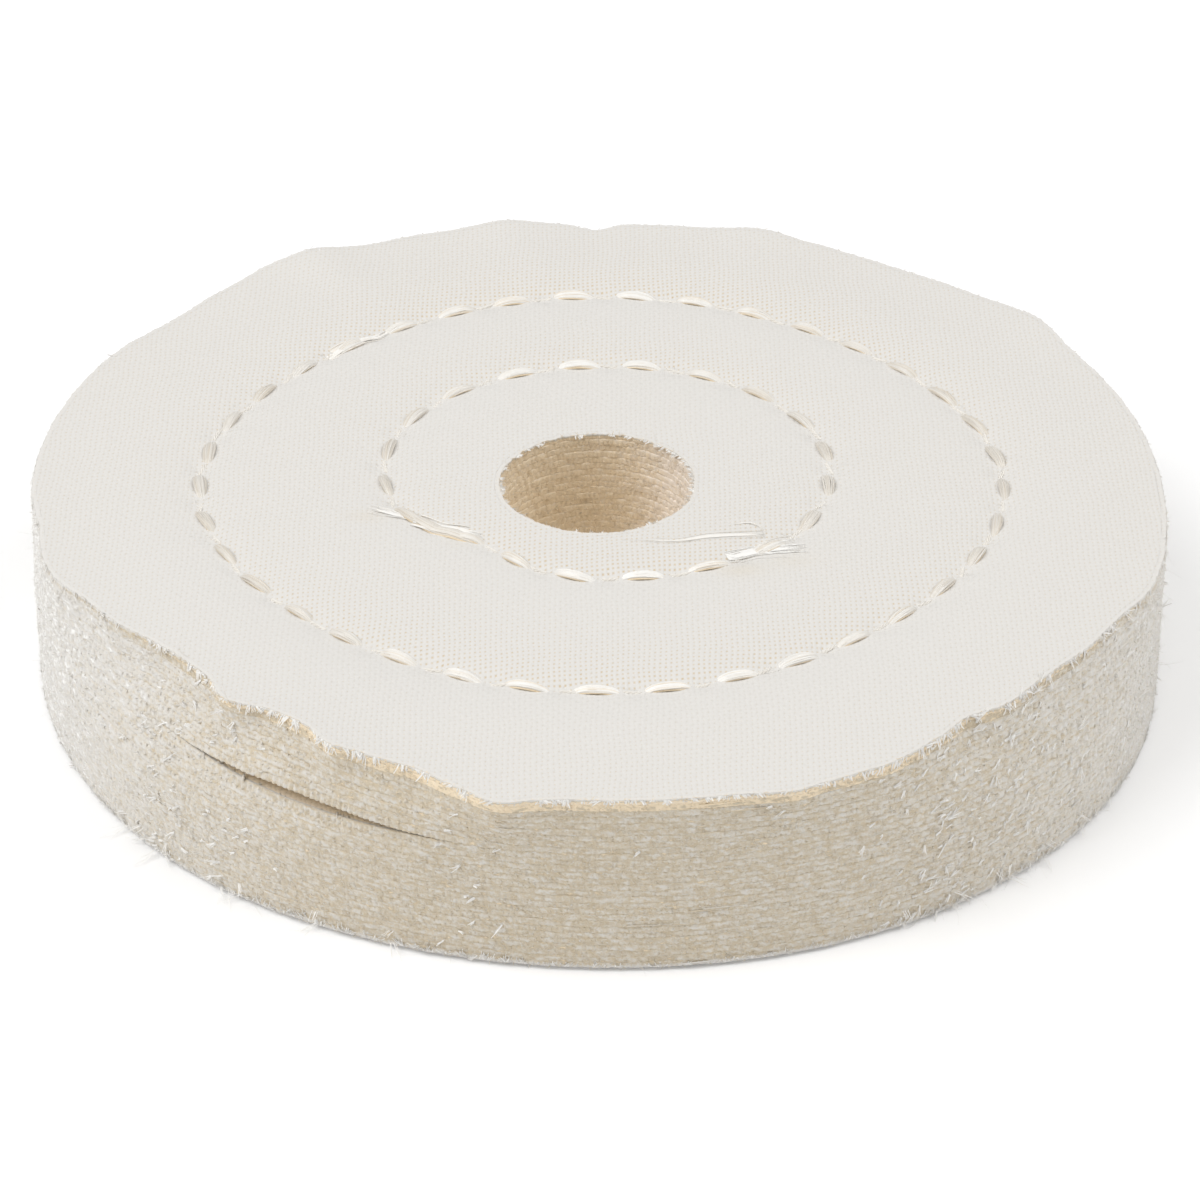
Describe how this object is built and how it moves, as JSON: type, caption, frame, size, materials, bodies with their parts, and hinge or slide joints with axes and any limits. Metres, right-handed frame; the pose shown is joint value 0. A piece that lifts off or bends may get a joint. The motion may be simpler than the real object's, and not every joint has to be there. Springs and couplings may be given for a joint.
{
  "type": "stitched cotton polishing wheel",
  "caption": "Stitched cotton polishing wheel: a stack of woven cloth discs sewn together with two rings of stitches round a plain centre bore.",
  "frame": {"origin": "on the bore's axis, half way between the two faces of the wheel", "axes": "+Z along the bore's axis, out of the face that shows the needle threads"},
  "size_m": [0.0753, 0.0754, 0.0126],
  "materials": {
    "cloth": "unbleached plain-woven cotton sheeting, matt, with frayed cut edges",
    "thread": "off-white multifilament sewing thread with a soft silky sheen"
  },
  "bodies": {
    "root": {"cloth_ply_01": "cloth", "cloth_ply_02": "cloth", "cloth_ply_03": "cloth", "cloth_ply_04": "cloth", "cloth_ply_05": "cloth", "cloth_ply_06": "cloth", "cloth_ply_07": "cloth", "cloth_ply_08": "cloth", "cloth_ply_09": "cloth", "cloth_ply_10": "cloth", "cloth_ply_11": "cloth", "cloth_ply_12": "cloth", "cloth_ply_13": "cloth", "cloth_ply_14": "cloth", "cloth_ply_15": "cloth", "cloth_ply_16": "cloth", "cloth_ply_17": "cloth", "cloth_ply_18": "cloth", "cloth_ply_19": "cloth", "cloth_ply_20": "cloth", "cloth_ply_21": "cloth", "cloth_ply_22": "cloth", "cloth_ply_23": "cloth", "cloth_ply_24": "cloth", "cloth_ply_25": "cloth", "cloth_ply_26": "cloth", "cloth_ply_27": "cloth", "cloth_ply_28": "cloth", "outer_needle_thread": "thread", "outer_bobbin_thread": "thread", "inner_needle_thread": "thread", "inner_bobbin_thread": "thread"}
  },
  "joints": []
}
